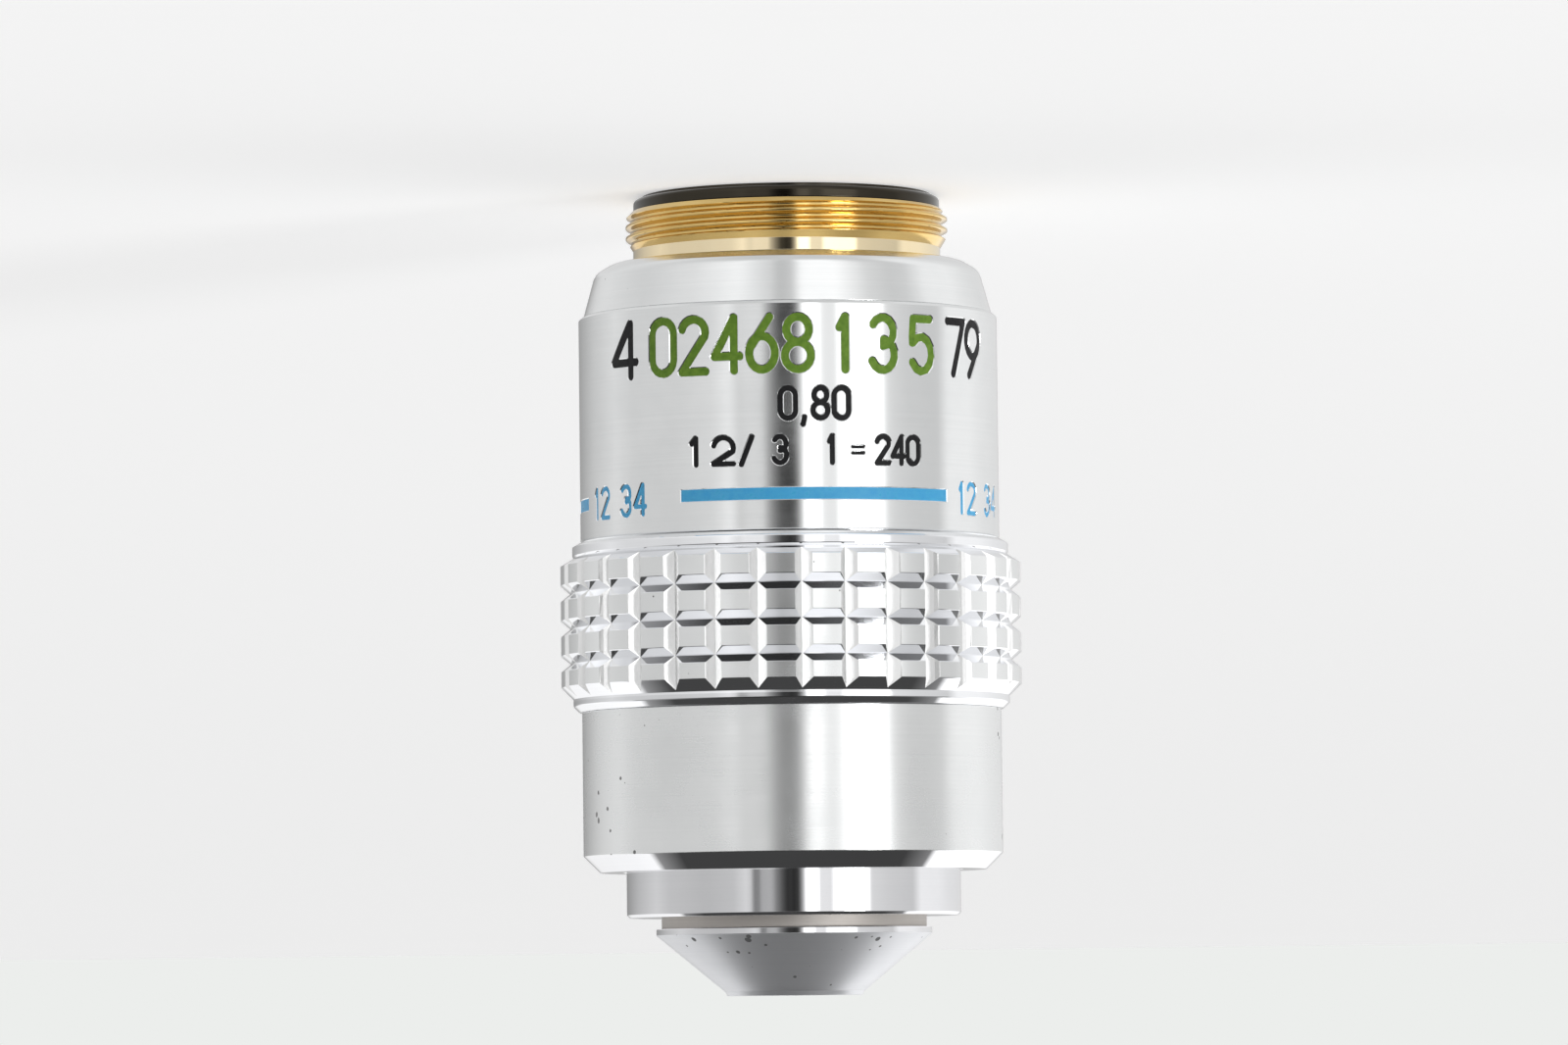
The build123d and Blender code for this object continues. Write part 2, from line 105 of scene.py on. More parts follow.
def new_object(name, verts, faces, normals=None, loop_normals=None):
    """A smooth mesh object from millimetre vertices, with exact normals where given."""
    mesh = bpy.data.meshes.new(name)
    mesh.from_pydata([(v[0] * MM, v[1] * MM, v[2] * MM) for v in verts], [], faces)
    mesh.polygons.foreach_set("use_smooth", [True] * len(mesh.polygons))
    mesh.update()
    if normals is not None:
        mesh.normals_split_custom_set_from_vertices(normals)
    if loop_normals is not None:
        mesh.normals_split_custom_set(loop_normals)
    return add_to_scene(name, mesh)


def add_to_scene(name, data):
    obj = bpy.data.objects.new(name, data)
    bpy.context.scene.collection.objects.link(obj)
    return obj


def eased(corners):
    """Points (radius, height, normal radius, normal height) of a closed section whose corners
    (radius, height, rounding) run anticlockwise, so that the outside is on the right."""
    out = []
    count = len(corners)
    for i, (r, z, ease) in enumerate(corners):
        here = Vector((r, z))
        d_in = (here - Vector(corners[i - 1][:2])).normalized()
        d_out = (Vector(corners[(i + 1) % count][:2]) - here).normalized()
        turn = math.atan2(d_in.x * d_out.y - d_in.y * d_out.x, d_in.dot(d_out))
        n_in = Vector((d_in.y, -d_in.x))
        side = 1 if turn > 0 else -1
        start = here - d_in * ease * math.tan(abs(turn) / 2)
        centre = start - n_in * ease * side
        for k in range(EASE_STEPS + 1):
            a = turn * k / EASE_STEPS
            c, s = math.cos(a), math.sin(a)
            n = Vector((n_in.x * c - n_in.y * s, n_in.x * s + n_in.y * c))
            p = centre + n * ease * side
            out.append((p.x, p.y, n.x, n.y))
    return out


def lathe(name, corners):
    """A turned piece from the corners of its section."""
    section = eased(corners)
    verts, normals, faces = [], [], []
    for k in range(SEGMENTS):
        a = 2 * math.pi * k / SEGMENTS
        c, s = math.cos(a), math.sin(a)
        for r, z, nr, nz in section:
            verts.append((r * c, r * s, z))
            normals.append((nr * c, nr * s, nz))
    m = len(section)
    for k in range(SEGMENTS):
        q = (k + 1) % SEGMENTS
        for j in range(m):
            w = (j + 1) % m
            faces.append((k * m + j, q * m + j, q * m + w, k * m + w))
    return new_object(name, verts, faces, normals=normals)


def sheet_of_revolution(name, rows, turns, radius_of):
    """A sheet round the axis: rows are heights, turns are polar angles in degrees."""
    verts = [polar(radius_of(z, t), math.radians(t), z) for z in rows for t in turns]
    faces = []
    n = len(turns)
    for i in range(len(rows) - 1):
        for j in range(n):
            q = (j + 1) % n
            faces.append((i * n + j, i * n + q, (i + 1) * n + q, (i + 1) * n + j))
    return new_object(name, verts, faces)


# Materials. Noise and cell scales are per metre.
TOOL_LINES = 9000.0
CLOUDS = 160.0
FINE_GRAIN = 1500.0
PIT_CELLS = 1400.0
PIT_PATCHES = 230.0
PIT_SIZE = 0.34
PAINT_PATCHES = 2600.0
DUST = 3000.0
METAL_BUMP_M = 0.00002
PAINT_BUMP_M = 0.00003


def channel(value):
    return value / 12.92 if value <= 0.04045 else ((value + 0.055) / 1.055) ** 2.4


def colour(red, green, blue):
    """A linear colour from 0 to 255 screen values."""
    return (channel(red / 255), channel(green / 255), channel(blue / 255), 1)


def grey(value):
    return (value, value, value, 1)


PIT_COLOUR = colour(70, 68, 66)


class Nodes:
    """Short calls that add shader nodes to one material or world."""

    def __init__(self, tree):
        self.tree = tree
        tree.nodes.clear()

    def add(self, kind, inputs=None, **settings):
        node = self.tree.nodes.new("ShaderNode" + kind)
        for key, value in settings.items():
            setattr(node, key, value)
        for key, value in (inputs or {}).items():
            self.put(node.inputs[key], value)
        return node

    def put(self, socket, value):
        if isinstance(value, bpy.types.NodeSocket):
            self.tree.links.new(value, socket)
        elif isinstance(value, bpy.types.Node):
            self.tree.links.new(value.outputs[0], socket)
        else:
            socket.default_value = value

    def math(self, operation, a, b=0.0, c=0.0):
        return self.add("Math", {0: a, 1: b, 2: c}, operation=operation).outputs[0]

    def ramp(self, factor, stops):
        node = self.add("ValToRGB", {0: factor})
        elements = node.color_ramp.elements
        while len(elements) < len(stops):
            elements.new(0.5)
        for element, (place, value) in zip(elements, stops):
            element.position = place
            element.color = grey(value)
        return node.outputs[0]

    def mix(self, factor, a, b):
        node = self.add("Mix", data_type="RGBA")
        self.put(node.inputs[0], factor)
        self.put(node.inputs[6], a)
        self.put(node.inputs[7], b)
        return node.outputs[2]

    def noise(self, vector, scale, detail, roughness):
        inputs = {"Vector": vector, "Scale": scale, "Detail": detail, "Roughness": roughness}
        return self.add("TexNoise", inputs).outputs[0]

    def span(self, value, low, high, out_low=0.0, out_high=1.0):
        inputs = {0: value, 1: low, 2: high, 3: out_low, 4: out_high}
        return self.add("MapRange", inputs, clamp=True).outputs[0]


def new_material(name):
    material = bpy.data.materials.new(name)
    material.use_nodes = True
    return material, Nodes(material.node_tree)


def metal(name, base, dull, roughness, **finish):
    """Turned metal: circumferential tool lines, cloudy polish, and specks where it is worn.
    brushing is how far reflections spread along the lines, lines how deep these are, pits how
    many specks there are, sides whether they keep to left and right, smudge how uneven the
    polish is."""
    pits = finish.get("pits", 0.0)
    smudge = finish.get("smudge", 0.04)
    material, n = new_material(name)
    place = n.add("TexCoord").outputs["Object"]
    axes = n.add("SeparateXYZ", {0: place})
    x, y, z = axes.outputs
    radius = n.math("SQRT", n.math("ADD", n.math("MULTIPLY", x, x), n.math("MULTIPLY", y, y)))
    line_place = n.add("CombineXYZ", {0: 0.0, 1: radius, 2: z})
    tool_lines = n.noise(line_place, TOOL_LINES, 3.0, 0.6)
    clouds = n.noise(place, CLOUDS, 4.0, 0.6)
    fine = n.noise(place, FINE_GRAIN, 3.0, 0.6)
    cloudy = n.span(clouds, 0.3, 0.75, roughness - smudge, roughness + smudge)
    rough = n.math("ADD", cloudy, n.span(tool_lines, 0.2, 0.8, -0.015, 0.015))
    tone = n.mix(n.span(clouds, 0.35, 0.8, 0.0, 0.5), base, dull)
    tone = n.mix(n.span(tool_lines, 0.3, 0.75, 0.0, 0.25), tone, dull)
    if pits:
        cells = n.add("TexVoronoi", {"Vector": place, "Scale": PIT_CELLS, "Randomness": 1.0})
        distance = cells.outputs["Distance"]
        chosen = n.add("SeparateColor", {0: cells.outputs["Color"]}).outputs[0]
        patches = n.noise(place, PIT_PATCHES, 3.0, 0.65)
        limit = n.math("MULTIPLY", n.span(patches, 0.5, 0.72, 0.0, 1.0), pits)
        if finish.get("sides"):
            sideways = n.math("DIVIDE", n.math("ABSOLUTE", x), radius)
            limit = n.math("MULTIPLY", limit, n.span(sideways, 0.55, 0.85, 0.12, 1.0))
        size = n.math("MULTIPLY", chosen, PIT_SIZE)
        inside = n.math("LESS_THAN", distance, n.math("MULTIPLY", size, limit))
        tone = n.mix(n.math("MULTIPLY", inside, 0.75), tone, PIT_COLOUR)
        rough = n.math("ADD", rough, n.math("MULTIPLY", inside, 0.3))
    height = n.math("ADD", n.math("MULTIPLY", tool_lines, 0.7), n.math("MULTIPLY", fine, 0.3))
    depth = {"Strength": finish.get("lines", 0.02), "Distance": METAL_BUMP_M, "Height": height}
    bump = n.add("Bump", depth)
    shader = n.add("BsdfPrincipled", {"Base Color": tone, "Roughness": rough, "Normal": bump})
    shader.inputs["Metallic"].default_value = finish.get("metallic", 1.0)
    if "brushing" in finish:
        shader.inputs["Anisotropic"].default_value = finish["brushing"]
        shader.inputs["Anisotropic Rotation"].default_value = 0.25
        tangent = n.add("Tangent", direction_type="RADIAL", axis="Z")
        n.put(shader.inputs["Tangent"], tangent)
    n.add("OutputMaterial", {0: shader})
    return material


def paint(name, base, dark, roughness=0.5, shine=0.25):
    """Enamel filled into an engraving, slightly uneven."""
    material, n = new_material(name)
    place = n.add("TexCoord").outputs["Object"]
    patches = n.noise(place, PAINT_PATCHES, 3.0, 0.6)
    tone = n.mix(n.span(patches, 0.35, 0.75, 0.0, 0.7), base, dark)
    bump = n.add("Bump", {"Strength": 0.25, "Distance": PAINT_BUMP_M, "Height": patches})
    rough = n.span(patches, 0.3, 0.7, roughness - 0.08, roughness + 0.12)
    shader = n.add("BsdfPrincipled", {"Base Color": tone, "Roughness": rough, "Normal": bump})
    shader.inputs["Specular IOR Level"].default_value = shine
    n.add("OutputMaterial", {0: shader})
    return material


def glass(name, index, tint, coat):
    """Optical glass with a coloured coating that shows at a slant."""
    material, n = new_material(name)
    place = n.add("TexCoord").outputs["Object"]
    dust = n.noise(place, DUST, 2.0, 0.5)
    rough = n.span(dust, 0.55, 0.8, 0.0, 0.05)
    shader = n.add("BsdfPrincipled", {"Base Color": tint, "Roughness": rough})
    shader.inputs["IOR"].default_value = index
    shader.inputs["Transmission Weight"].default_value = 1.0
    shader.inputs["Coat Weight"].default_value = 0.35
    shader.inputs["Coat Roughness"].default_value = 0.02
    shader.inputs["Coat Tint"].default_value = coat
    n.add("OutputMaterial", {0: shader})
    return material


# Each metal: name, colour, duller colour, roughness, and what else its finish has
METALS = [
    ("chrome", (238, 239, 239), (220, 222, 223), 0.15, {"brushing": 0.5, "pits": 0.5, "sides": True}),
    ("chrome_bright", (236, 236, 238), (222, 223, 226), 0.045, {"smudge": 0.015}),
    ("chrome_knurl", (244, 245, 247), (232, 233, 236), 0.05, {"smudge": 0.015}),
    ("satin_chrome", (238, 239, 239), (222, 224, 224), 0.27, {"brushing": 0.75, "pits": 1.4, "sides": True}),
    ("chrome_cut", (252, 252, 252), (244, 245, 245), 0.22, {"smudge": 0.02, "metallic": 0.9}),
    ("satin_pads", (236, 237, 237), (222, 224, 224), 0.25, {"brushing": 0.7, "pits": 0.5}),
    ("satin_cone", (228, 229, 232), (210, 212, 216), 0.40, {"brushing": 0.3, "pits": 1.4, "metallic": 0.68}),
    # The neck's satin roughness is real, but its darker grey-brown tone is partly painted shade of its
    # recess.
    ("satin_neck_painted_shade", (204, 199, 194), (180, 174, 168), 0.5, {"lines": 0.06, "metallic": 0.8}),
    ("brass", (228, 197, 128), (186, 145, 76), 0.14, {"lines": 0.05}),
    ("brass_bright", (246, 230, 194), (238, 214, 168), 0.06, {"smudge": 0.02}),
    ("steel", (190, 191, 194), (165, 166, 170), 0.22, {"brushing": 0.4}),
    ("steel_bright", (205, 206, 208), (180, 182, 185), 0.14, {}),
    ("ring_black", (64, 60, 52), (44, 40, 34), 0.16, {"lines": 0.3}),
    ("cell_black", (48, 48, 50), (30, 30, 32), 0.42, {"lines": 0.05}),
]
looks = {
    name: metal(name, colour(*base), colour(*dull), roughness, **finish)
    for name, base, dull, roughness, finish in METALS
}
looks["paint_green"] = paint("paint_green", colour(128, 168, 58), colour(86, 130, 40))
looks["paint_black"] = paint("paint_black", colour(22, 22, 25), colour(10, 10, 12))
looks["paint_blue"] = paint("paint_blue", colour(84, 200, 255), colour(66, 184, 252), 0.32, 0.5)
looks["crown_glass"] = glass("crown_glass", 1.52, (0.98, 0.99, 1.0, 1), (0.75, 0.8, 1.0, 1))
looks["flint_glass"] = glass("flint_glass", 1.62, (0.99, 0.99, 0.96, 1), (0.95, 0.8, 0.7, 1))


def finish_with(obj, look):
    """Puts one look on a piece or on a CAD node's slots."""
    slots = obj.material_slots
    if len(slots) == 0:
        obj.data.materials.append(looks[look])
    for slot in slots:
        slot.material = looks[look]


def finish_zones(obj, zones):
    """Puts each look on the faces whose middle lies between its two heights."""
    for index, (low, high, look) in enumerate(zones):
        obj.data.materials.append(looks[look])
        for polygon in obj.data.polygons:
            if low <= polygon.center.z / MM < high:
                polygon.material_index = index


# Threaded mount: the helical thread, its relief neck and the guide tube behind it
THREAD_PITCH = 0.7056
THREAD_DEPTH = 0.37
THREAD_START = 0.274
ROOT_SHARE = 0.20
FLANK_SHARE = 0.60
FLANK_ROUNDING = 0.35
REAR_CHAMFER = (9.72, 1.0)
FRONT_CHAMFER = (9.64, 0.62)
THREAD_ROWS = 84
THREAD_SEGMENTS = 256
THREAD_SHARP = math.radians(50)
THREAD_CORE = 9.60


def thread_radius(z, turn):
    """Radius of the rounded thread form at a place, run out into both end chamfers."""
    phase = (z - THREAD_REAR - THREAD_START) / THREAD_PITCH - turn / 360
    wave = abs((phase % 1) - 0.5) * 2
    flank = min(max((wave - ROOT_SHARE) / FLANK_SHARE, 0), 1)
    soft = flank * flank * (3 - 2 * flank) * FLANK_ROUNDING + flank * (1 - FLANK_ROUNDING)
    radius = THREAD_RADIUS - THREAD_DEPTH * (1 - soft)
    rear_chamfer = REAR_CHAMFER[0] + (z - THREAD_REAR) * REAR_CHAMFER[1]
    front_chamfer = FRONT_CHAMFER[0] + (THREAD_FRONT - z) * FRONT_CHAMFER[1]
    return min(radius, rear_chamfer, front_chamfer)


threaded_mount = sheet_of_revolution(
    "threaded_mount",
    [THREAD_REAR + (THREAD_FRONT - THREAD_REAR) * i / THREAD_ROWS for i in range(THREAD_ROWS + 1)],
    [360 * k / THREAD_SEGMENTS for k in range(THREAD_SEGMENTS)],
    thread_radius,
)
threaded_mount.data.set_sharp_from_angle(angle=THREAD_SHARP)
finish_with(threaded_mount, "brass")

mount_body = lathe(
    "mount_body",
    [
        (THREAD_BORE, THREAD_REAR, EDGE),
        (9.70, THREAD_REAR, FINE),
        (THREAD_CORE, THREAD_REAR + 0.10, 0.02),
        (THREAD_CORE, THREAD_FRONT - 0.10, 0.02),
        (9.66, THREAD_FRONT, 0.02),
        (9.65, SEAT_STEP, FINE),
        (SEAT_RADIUS, SEAT_STEP, EDGE),
        (SEAT_RADIUS, BAND_END, EDGE),
        (TUBE_RADIUS, BAND_END, EDGE),
        (TUBE_RADIUS, TUBE_END - 0.25, EDGE),
        (TUBE_RADIUS - 0.25, TUBE_END, EDGE),
        (GUIDE_RADIUS, TUBE_END, EDGE),
        (GUIDE_RADIUS, GUIDE_REAR, EDGE),
        (THREAD_BORE, GUIDE_REAR, EDGE),
    ],
)
finish_with(mount_body, "brass_bright")

RING_STEP = REAR_END + 0.18
RING_TAIL_END = THREAD_REAR + 3.40
rear_ring = lathe(
    "rear_ring",
    [
        (7.30, REAR_END, 0.06),
        (9.12, REAR_END, EDGE),
        (9.12, RING_STEP, FINE),
        (RING_RADIUS, RING_STEP, 0.30),
        (RING_RADIUS, THREAD_REAR - 0.02, 0.06),
        (RING_TAIL, THREAD_REAR, FINE),
        (RING_TAIL, RING_TAIL_END, EDGE),
        (LIGHT_RADIUS, RING_TAIL_END, EDGE),
        (LIGHT_RADIUS, REAR_END + 0.80, 0.04),
    ],
)
finish_with(rear_ring, "ring_black")

BAND_ROUNDING = 0.90
BAND_BORE = 9.68
BAND_RIM = 11.87
band = lathe(
    "band",
    [
        (BAND_BORE, 0.10, FINE),
        (9.80, 0.0, FINE),
        (11.05, 0.0, BAND_ROUNDING),
        (12.10, 0.62, BAND_ROUNDING),
        (12.84, BAND_FRONT - 0.05, 0.04),
        (12.78, BAND_FRONT, FINE),
        (BAND_RIM, BAND_FRONT, FINE),
        (BAND_RIM, BAND_END, FINE),
        (SEAT_RADIUS + 0.03, BAND_END, FINE),
        (SEAT_RADIUS + 0.03, SEAT_STEP, FINE),
        (BAND_BORE, SEAT_STEP, FINE),
    ],
)
finish_with(band, "chrome")

CHAMFER_START = CASING_END - 1.03
CHAMFER_LOOK = CASING_END - 0.99
lower = lathe(
    "lower",
    [
        (BORE_RADIUS, GRIP_END, FINE),
        (BODY_RADIUS, GRIP_END, 0.06),
        (BODY_RADIUS, CHAMFER_START, 0.07),
        (12.12, CASING_END, 0.06),
        (GUIDE_RADIUS + 0.20, CASING_END, EDGE),
        (GUIDE_RADIUS, CASING_END - 0.20, FINE),
        (GUIDE_RADIUS, TUBE_END, FINE),
        (BORE_RADIUS, TUBE_END, FINE),
    ],
)
finish_zones(
    lower,
    [(GRIP_END - 1, CHAMFER_LOOK, "satin_chrome"), (CHAMFER_LOOK, CASING_END + 1, "chrome_bright")],
)

SLIDE_REAR = TUBE_END - 0.80
SLIDE_FACE = NOSE_SLEEVE_END + 0.18
SLIDE_RECESS = NOSE_SLEEVE_END - 0.38
slide = lathe(
    "slide",
    [
        (BARREL_RADIUS, SLIDE_REAR, FINE),
        (SLIDE_RADIUS, SLIDE_REAR, EDGE),
        (SLIDE_RADIUS, NOSE_SLEEVE_END, 0.04),
        (SLIDE_RADIUS - 0.18, SLIDE_FACE, 0.04),
        (NOSE_BORE, SLIDE_FACE, FINE),
        (NOSE_BORE, SLIDE_RECESS, FINE),
        (BARREL_RADIUS, SLIDE_RECESS, FINE),
    ],
)
finish_with(slide, "chrome_bright")

cone = lathe(
    "cone",
    [
        (STACK_RADIUS, CONE_REAR, FINE),
        (CONE_FIT, CONE_REAR, EDGE),
        (CONE_FIT, CONE_LIP, FINE),
        (CONE_RADIUS, CONE_LIP, 0.06),
        (CONE_RADIUS, CONE_START, EDGE),
        (4.39, 45.64, EDGE),
        (4.23, TIP, EDGE),
        (MOUNT_RADIUS, TIP, FINE),
        (MOUNT_RADIUS, LENS_FACE, FINE),
        (LENS_RADIUS, LENS_FACE, FINE),
        (LENS_RADIUS, LENS_SEAT, FINE),
        (STACK_RADIUS, LENS_SEAT, FINE),
    ],
)
NECK_LOOK_END = CONE_LIP - 0.01
LIP_LOOK_END = CONE_START - 0.02
# The neck's look carries painted shade of its recess in its darker tone.
finish_zones(
    cone,
    [
        (CONE_REAR - 1, NECK_LOOK_END, "satin_neck_painted_shade"),
        (NECK_LOOK_END, LIP_LOOK_END, "chrome_bright"),
        (LIP_LOOK_END, TIP + 1, "satin_cone"),
    ],
)

# Knurled grip: turned profile and planed grooves share one set of depth steps, so every
# mitre between two grooves falls on the mesh's diagonals. A step is a share of a groove's
# half width, from the pad's edge inwards, with its share of the depth.
KNURL_RADIUS = 14.448
KNURL_DEPTH = 0.62
COLUMNS = 32
COLUMN_OVER_ROW = 1.06
COLUMN_LEFT = 0.41
COLUMN_RIGHT = 0.65
KNURL_PHASE = 8.05
ROWS = 4
ROW_PITCH = 2.205
ROW_OPENING = 1.00
PAD_START = 18.94
PAD_END = 26.54
PAD_STEPS = 4
PAD_INSET = 1.05
REAR_BEVEL = 0.37
FRONT_BEVEL = 0.60
PLANED_START = PAD_START - 0.47
PLANED_END = PAD_END + 0.76
GROOVE_STEPS = [
    (-0.03, 0.0), (0.0, 0.012), (0.03, 0.036), (0.07, 0.07), (0.35, 0.35), (0.65, 0.65), (0.96, 0.96),
    (1.0, 0.985),
]
DEEPER_STEPS = GROOVE_STEPS[:-1] + [(1.04, 1.04), (COLUMN_OVER_ROW, 1.05)]
BEVEL_STEPS = GROOVE_STEPS[:-1] + [(1.04, 1.04), (COLUMN_OVER_ROW, COLUMN_OVER_ROW), (1.24, 1.24)]
# The plain rims: distance from the ring's rear or front end, and depth below the pads
REAR_RIM = [
    (0.0, 1.34), (0.04, 1.27), (0.28, 0.83), (0.33, 0.77), (0.40, 0.76), (0.82, 0.76), (0.87, 0.77),
    (1.04, 0.86),
]
FRONT_RIM = [(0.75, 0.765), (0.68, 0.76), (0.42, 0.76), (0.36, 0.78), (0.04, 1.10), (0.0, 1.17)]
EDGE_WEAR = 0.006
EDGE_DEPTH = 0.1
WEAR_SEED = 7


def grip_rows():
    """Heights with the depth of the turned profile below the pads' tops."""
    rows = [(SLEEVE_END + place, depth) for place, depth in REAR_RIM]
    rows += [(PAD_START - REAR_BEVEL * s, KNURL_DEPTH * depth) for s, depth in reversed(BEVEL_STEPS)]
    half = ROW_OPENING / 2
    for row in range(1, ROWS):
        end = PAD_START + row * ROW_PITCH
        rows += [(end - ROW_OPENING + half * s, KNURL_DEPTH * depth) for s, depth in GROOVE_STEPS]
        rows += [(end - half * s, KNURL_DEPTH * depth) for s, depth in reversed(GROOVE_STEPS[:-1])]
    rows += [(PAD_END + FRONT_BEVEL * s, KNURL_DEPTH * depth) for s, depth in BEVEL_STEPS]
    rows += [(GRIP_END - place, depth) for place, depth in FRONT_RIM]
    return rows


def grip_turns():
    """Polar angles in degrees with the depth of the planed grooves."""
    turns = []
    half = math.degrees((COLUMN_LEFT + COLUMN_RIGHT) / 2 / KNURL_RADIUS)
    right_step = math.degrees(COLUMN_RIGHT / COLUMN_OVER_ROW / KNURL_RADIUS)
    left_step = math.degrees(COLUMN_LEFT / COLUMN_OVER_ROW / KNURL_RADIUS)
    pitch = 360 / COLUMNS
    for column in range(COLUMNS):
        middle = KNURL_PHASE + column * pitch
        right_edge = middle - half
        left_edge = middle + half
        turns += [(right_edge + right_step * s, KNURL_DEPTH * depth) for s, depth in DEEPER_STEPS]
        left_steps = reversed(DEEPER_STEPS[:-1])
        turns += [(left_edge - left_step * s, KNURL_DEPTH * depth) for s, depth in left_steps]
        first = middle + half * PAD_INSET
        last = middle + pitch - half * PAD_INSET
        turns += [(first + (last - first) * k / PAD_STEPS, 0.0) for k in range(1, PAD_STEPS)]
    return turns


def flat_pair(face, m):
    """The two corners of a triangle at one height, in the order of their turns."""
    for k in range(3):
        first, second = face[k], face[(k + 1) % 3]
        if first // m == second // m:
            step = (second - first) % m
            return (first, second) if step == 1 else (second, first)
    return face[0], face[1]


def grip_mesh(rows, turns):
    """Vertices, faces and the number of faces that lie on the ring's outside."""
    m = len(turns)
    wear = np.random.default_rng(WEAR_SEED).normal(0, 1, (len(rows), m))
    verts, faces = [], []
    for i, (z, depth) in enumerate(rows):
        planed = PLANED_START <= z <= PLANED_END
        for j, (turn, cut) in enumerate(turns):
            deep = max(depth, cut) if planed else depth
            worn = EDGE_WEAR * abs(wear[i, j]) if 0.0 < deep < EDGE_DEPTH else 0.0
            verts.append(polar(KNURL_RADIUS - deep - worn, math.radians(turn), z))
    for i in range(len(rows) - 1):
        down = rows[i + 1][1] - rows[i][1]
        for j in range(m):
            q = (j + 1) % m
            across = turns[q][1] - turns[j][1]
            a, b, c, d = i * m + j, i * m + q, (i + 1) * m + q, (i + 1) * m + j
            if down * across >= 0:
                faces += [(a, b, c), (a, c, d)]
            else:
                faces += [(a, b, d), (b, c, d)]
    outer = len(faces)
    base = len(verts)
    for z in (GRIP_END, SLEEVE_END):
        verts += [polar(BORE_RADIUS, math.radians(turn), z) for turn, _ in turns]
    top = (len(rows) - 1) * m
    for j in range(m):
        q = (j + 1) % m
        faces.append((top + j, top + q, base + q, base + j))
        faces.append((base + j, base + q, base + m + q, base + m + j))
        faces.append((base + m + j, base + m + q, q, j))
    return verts, faces, outer


def make_grip():
    """The ring, with the normals of each wall from its own cut and not from the mesh."""
    rows, turns = grip_rows(), grip_turns()
    m = len(turns)
    verts, faces, outer = grip_mesh(rows, turns)
    plain, pad, cut_wall = range(3)
    loop_normals, material_index = [], []
    for index, face in enumerate(faces):
        if index >= outer:
            a, b, c = (Vector(verts[i]) for i in face[:3])
            loop_normals += [tuple((b - a).cross(c - a).normalized())] * 4
            material_index.append(plain)
            continue
        i = min(corner // m for corner in face)
        wall = sum(turns[corner % m][1] - rows[corner // m][1] for corner in face)
        planed = PLANED_START <= rows[i][0] and rows[i + 1][0] <= PLANED_END
        if planed and wall > 0:
            left, right = (Vector(verts[corner][:2]) for corner in flat_pair(face, m))
            across = (right - left).normalized()
            loop_normals += [(across.y, -across.x, 0.0)] * 3
            material_index.append(cut_wall)
            continue
        rise = rows[i + 1][0] - rows[i][0]
        fall = rows[i + 1][1] - rows[i][1]
        length = math.hypot(rise, fall)
        for corner in face:
            a = math.radians(turns[corner % m][0])
            loop_normals.append(polar(rise / length, a, fall / length))
        material_index.append(pad if planed and rows[i][1] + rows[i + 1][1] == 0 else plain)
    obj = new_object("grip", verts, faces, loop_normals=loop_normals)
    for look in ("chrome_knurl", "satin_pads", "chrome_cut"):
        obj.data.materials.append(looks[look])
    obj.data.polygons.foreach_set("material_index", material_index)
    obj.data.update()
    return obj


grip = make_grip()


# Engraved sleeve: stroke characters cut into the cylinder and filled with paint. On the
# unrolled cylinder a point is (arc length from the middle of the side that is seen, height).

def arc(cx, cy, rx, ry, start, end, steps=10):
    """Points on an ellipse from a start to an end angle in degrees."""
    angles = [math.radians(start + (end - start) * k / steps) for k in range(steps + 1)]
    return [(cx + rx * math.cos(a), cy + ry * math.sin(a)) for a in angles]


def character(name, w):
    """Centre lines of a character in a box of width w and height 1."""
    h = w / 2
    upper = 0.27
    lower = 0.29
    shapes = {
        "0": [arc(h, 1 - h, h, h, 0, 180) + arc(h, h, h, h, 180, 360) + [(w, 1 - h)]],
        "1": [[(h * 0.35, 0.80), (h * 1.05, 1), (h * 1.05, 0)]],
        "2": [arc(h, 1 - h, h, h, 165, -20) + [(0, 0.0), (w, 0.0)]],
        "3": [arc(h, 1 - upper, h * 0.92, upper, 150, -88) + arc(h, lower, h, lower, 85, -155)],
        "4": [[(w * 0.78, 0), (w * 0.78, 1), (0, 0.27), (w, 0.27)]],
        "5": [[(w * 0.93, 1), (w * 0.12, 1), (w * 0.05, 0.55)] + arc(h, 0.33, h, 0.33, 140, -150)],
        "6": [[(w * 0.80, 1)] + arc(h, 0.32, h, 0.32, 165, 535, 20)],
        "7": [[(0, 1), (w, 1), (w * 0.33, 0)]],
        "8": [arc(h, 1 - 0.24, h * 0.86, 0.24, -90, 270, 18), arc(h, 0.26, h, 0.26, 90, 450, 18)],
        "9": [[(w * 0.20, 0)] + arc(h, 0.68, h, 0.32, -15, 355, 20)],
        "/": [[(0, -0.04), (w, 1.0)]],
        ",": [[(w * 0.5, 0.02), (w * 0.2, -0.20)]],
        "=": [[(0, 0.36), (w, 0.36)], [(0, 0.60), (w, 0.60)]],
    }
    return shapes[name]


ARC = math.pi * BODY_RADIUS / 180
HALF_TURN = 180 * ARC
WRAPS = (0, 2 * HALF_TURN, -2 * HALF_TURN)
USUAL_WIDTH = 0.50


def line_of_text(text, start, end, line, widths, ink):
    """Places characters evenly between two turns. Gives (strokes, half width, ink)."""
    foot, height, stroke = line
    placed = []
    total = sum(widths.get(c, USUAL_WIDTH) * height for c in text)
    room = (end - start) * ARC
    gap = (room - total) / max(len(text) - 1, 1)
    s = start * ARC
    for c in text:
        w = widths.get(c, USUAL_WIDTH) * height
        if c != " ":
            for points in character(c, w / height):
                points = [(s + px * height, foot - py * height) for px, py in points]
                placed.append((np.array(points), stroke / 2, ink))
        s += w + gap
    return placed


